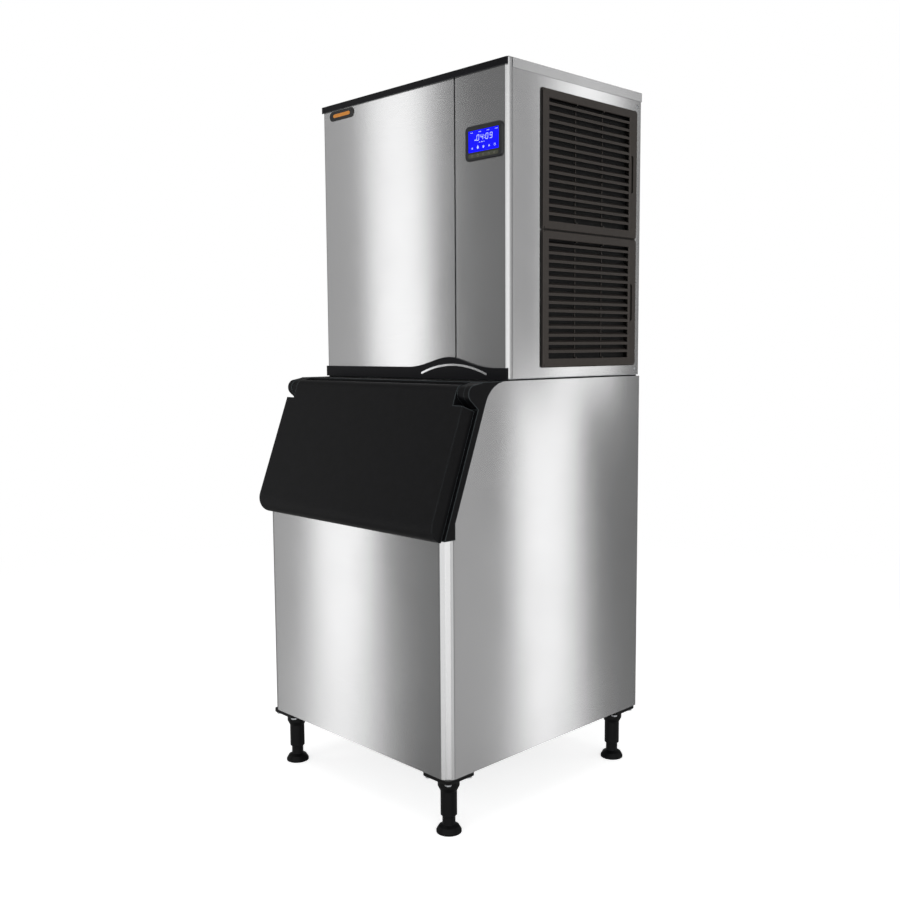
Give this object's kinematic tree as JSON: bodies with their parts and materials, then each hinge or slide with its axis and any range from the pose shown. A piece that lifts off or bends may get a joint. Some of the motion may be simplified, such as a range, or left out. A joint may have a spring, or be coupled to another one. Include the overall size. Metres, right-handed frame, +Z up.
{
  "type": "modular ice machine",
  "caption": "Modular ice machine: air-cooled ice-making head with side grilles and display on an insulated storage bin with a sloping black door and levelling feet.",
  "frame": {"origin": "on the floor under the middle of the whole machine, door and rear fittings included", "axes": "+Z up, -Y to the front where the door is, +X to the machine's right side as seen from the front, where the air grilles are"},
  "size_m": [0.7655, 0.8502, 1.959],
  "materials": {
    "stainless_steel": "brushed",
    "galvanised_steel": "dull zinc",
    "black_moulding": "fine grain",
    "black_trim": "satin",
    "door_liner": "smooth",
    "foam": "foamed",
    "bin_liner": "smooth",
    "gasket_rubber": "closed-cell",
    "steel_fastener": "zinc plated",
    "grille_plastic": "fine grain",
    "filter_foam": "open mesh",
    "silver_trim": "satin chrome",
    "badge_blank": "gloss",
    "screen": "backlit",
    "aluminium": "plain",
    "copper": "drawn",
    "black_paint": "satin",
    "nickel_plate": "nickel",
    "white_plastic": "smooth",
    "clear_curtain": "smooth",
    "grey_box": "powder coat",
    "brass_fitting": "machined",
    "hose": "smooth"
  },
  "bodies": {
    "cabinet": {"bin_front_panel": "stainless_steel", "bin_left_panel": "stainless_steel", "bin_right_panel": "stainless_steel", "bin_back_panel": "galvanised_steel", "bin_base_panel": "galvanised_steel", "bin_insulation": "foam", "bin_liner": "bin_liner", "bin_drain_fitting": "white_plastic", "legs": "black_moulding", "leg_bolts": "steel_fastener", "door_frame": "black_moulding", "hinge_pins": "steel_fastener", "head_gasket": "gasket_rubber", "head_base": "galvanised_steel", "head_frame": "galvanised_steel", "head_left_panel": "stainless_steel", "head_right_panel": "stainless_steel", "head_back_panel": "galvanised_steel", "top_cover": "stainless_steel", "front_left_panel": "stainless_steel", "front_right_panel": "stainless_steel", "front_top_trim": "black_trim", "front_bottom_trim": "black_trim", "trim_arc": "silver_trim", "badge_plate": "badge_blank", "display_bezel": "black_trim", "display_screen": "screen", "upper_grille_frame": "grille_plastic", "lower_grille_frame": "grille_plastic", "air_filters": "filter_foam", "condenser": "aluminium", "fan_shroud": "galvanised_steel", "fan_motors": "black_paint", "compressor": "black_paint", "filter_drier": "copper", "refrigerant_lines": "copper", "partition_panel": "white_plastic", "evaporator": "nickel_plate", "evaporator_frame": "white_plastic", "water_distributor": "white_plastic", "water_trough": "white_plastic", "water_pump": "white_plastic", "pump_hose": "hose", "float_valve": "white_plastic", "control_box": "grey_box", "rear_fittings": "brass_fitting", "panel_screws": "steel_fastener"},
    "door": {"door_shell": "black_moulding", "door_inner_panel": "door_liner", "door_core": "foam"},
    "upper_louvre": {"upper_louvre_door": "grille_plastic"},
    "lower_louvre": {"lower_louvre_door": "grille_plastic"},
    "upper_fan_rotor": {"upper_fan": "aluminium"},
    "lower_fan_rotor": {"lower_fan": "aluminium"},
    "curtain": {"water_curtain": "clear_curtain"},
    "float": {"float_arm": "white_plastic"},
    "foot_fl": {"foot_front_left": "black_moulding"},
    "foot_fr": {"foot_front_right": "black_moulding"},
    "foot_rl": {"foot_rear_left": "black_moulding"},
    "foot_rr": {"foot_rear_right": "black_moulding"}
  },
  "joints": [
    {"name": "door_hinge", "type": "hinge", "parent": "cabinet", "child": "door", "pos_m": [0, -0.28392, 1.126], "axis": [-1, 0, 0], "range_deg": [0, 165]},
    {"name": "upper_louvre_hinge", "type": "hinge", "parent": "cabinet", "child": "upper_louvre", "pos_m": [0.3825, -0.03042, 1.72575], "axis": [0, 0, -1], "range_deg": [0, 110]},
    {"name": "lower_louvre_hinge", "type": "hinge", "parent": "cabinet", "child": "lower_louvre", "pos_m": [0.3825, -0.03042, 1.36625], "axis": [0, 0, -1], "range_deg": [0, 110]},
    {"name": "upper_fan_spin", "type": "hinge", "parent": "cabinet", "child": "upper_fan_rotor", "pos_m": [0.27, 0.16508, 1.7235], "axis": [1, 0, 0], "continuous": true},
    {"name": "lower_fan_spin", "type": "hinge", "parent": "cabinet", "child": "lower_fan_rotor", "pos_m": [0.27, 0.16508, 1.3685], "axis": [1, 0, 0], "continuous": true},
    {"name": "curtain_hinge", "type": "hinge", "parent": "cabinet", "child": "curtain", "pos_m": [-0.19225, 0.00808, 1.791], "axis": [-1, 0, 0], "range_deg": [0, 15]},
    {"name": "float_hinge", "type": "hinge", "parent": "cabinet", "child": "float", "pos_m": [-0.33525, 0.14408, 1.267], "axis": [-1, 0, 0], "range_deg": [0, 14]},
    {"name": "front_left_foot_screw", "type": "slide", "parent": "cabinet", "child": "foot_fl", "axis": [0, 0, -1], "range_m": [-0.015, 0.02]},
    {"name": "front_right_foot_screw", "type": "slide", "parent": "cabinet", "child": "foot_fr", "axis": [0, 0, -1], "range_m": [-0.015, 0.02]},
    {"name": "rear_left_foot_screw", "type": "slide", "parent": "cabinet", "child": "foot_rl", "axis": [0, 0, -1], "range_m": [-0.015, 0.02]},
    {"name": "rear_right_foot_screw", "type": "slide", "parent": "cabinet", "child": "foot_rr", "axis": [0, 0, -1], "range_m": [-0.015, 0.02]}
  ]
}
